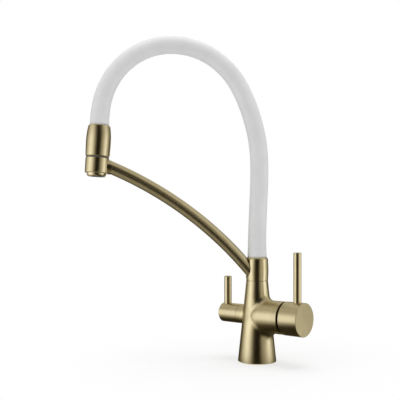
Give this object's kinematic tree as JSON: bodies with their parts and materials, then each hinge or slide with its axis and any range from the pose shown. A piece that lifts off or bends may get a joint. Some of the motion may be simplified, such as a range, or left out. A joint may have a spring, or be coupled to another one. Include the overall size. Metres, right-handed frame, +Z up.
{
  "type": "three way filtered water tap",
  "caption": "Kitchen tap with a conical body, a lever mixer, a filtered water lever, and a white silicone hose spout whose spray head docks in a ring on a swivelling arm.",
  "frame": {"origin": "on the axis of the conical body, at its underside, where it stands on the worktop", "axes": "+Z up along the body axis; +X along the branches toward the mixer, with the filtered water valve at -X; -Y is the front; the spout rests turned to 231 degrees from +X"},
  "size_m": [0.2179, 0.2011, 0.42],
  "materials": {
    "brushed_brass": "satin",
    "raw_brass": "satin",
    "steel": "satin",
    "white_silicone": "satin",
    "black_rubber": "matte",
    "alumina": "satin",
    "white_acetal": "satin",
    "dark_acetal": "satin",
    "grey_acetal": "satin",
    "blue_tube": "satin"
  },
  "bodies": {
    "tap_body": {"body_casting": "brushed_brass", "inlet_block": "raw_brass", "base_gasket": "black_rubber", "glide_ring": "dark_acetal", "lock_screw": "steel", "cartridge_base": "white_acetal", "cartridge_seals": "black_rubber", "cartridge_body": "white_acetal", "fixed_disc": "alumina", "cartridge_nut": "raw_brass", "cover_dome": "brushed_brass", "filter_headwork": "raw_brass", "filter_fixed_disc": "alumina"},
    "mixer_carrier": {"cartridge_carrier": "white_acetal", "stem_pin": "steel"},
    "mixer_disc": {"moving_disc": "alumina", "disc_driver": "white_acetal"},
    "mixer_handle": {"mixer_stem": "steel", "mixer_cap": "brushed_brass", "mixer_lever": "brushed_brass", "mixer_grub_screw": "steel"},
    "filter_handle": {"filter_moving_disc": "alumina", "filter_spindle": "raw_brass", "filter_o_ring": "black_rubber", "filter_cap": "brushed_brass", "filter_lever": "brushed_brass", "filter_grub_screw": "steel"},
    "spout": {"swivel_post": "raw_brass", "swivel_rings": "black_rubber", "swivel_collar": "brushed_brass", "holder_arm": "brushed_brass", "arm_anchor": "raw_brass", "dock_ring": "brushed_brass", "dock_liner": "white_acetal", "hose_sleeve": "white_silicone", "mixed_water_tube": "blue_tube", "filtered_water_tube": "blue_tube"},
    "spray_head": {"seat_washer": "grey_acetal", "head_ferrule": "brushed_brass", "head_manifold": "raw_brass", "nozzle_body": "brushed_brass", "aerator_rim": "grey_acetal", "aerator_insert": "white_acetal", "nozzle_gasket": "black_rubber"}
  },
  "joints": [
    {"name": "spout_swivel", "type": "hinge", "parent": "tap_body", "child": "spout", "pos_m": [0, 0, 0], "axis": [0, 0, 1], "continuous": true},
    {"name": "head_lift", "type": "slide", "parent": "spout", "child": "spray_head", "axis": [0.0384, 0.0474, 0.9981], "range_m": [0, 0.03], "deforming": ["hose_sleeve", "mixed_water_tube", "filtered_water_tube"]},
    {"name": "mixer_turn", "type": "hinge", "parent": "tap_body", "child": "mixer_carrier", "pos_m": [0, 0, 0.06], "axis": [1, 0, 0], "range_deg": [-50, 50]},
    {"name": "mixer_tilt", "type": "hinge", "parent": "mixer_carrier", "child": "mixer_handle", "pos_m": [0.0275, 0, 0.06], "axis": [0, 1, 0], "range_deg": [0, 22]},
    {"name": "mixer_disc_slide", "type": "slide", "parent": "mixer_carrier", "child": "mixer_disc", "axis": [0, 0, 1], "range_m": [0, 0.00288]},
    {"name": "filter_turn", "type": "hinge", "parent": "tap_body", "child": "filter_handle", "pos_m": [0, 0, 0.06], "axis": [1, 0, 0], "range_deg": [0, 90]}
  ],
  "couplings": [
    {"joint": "mixer_disc_slide", "follows": "mixer_tilt", "m_per_rad": 0.0075}
  ]
}
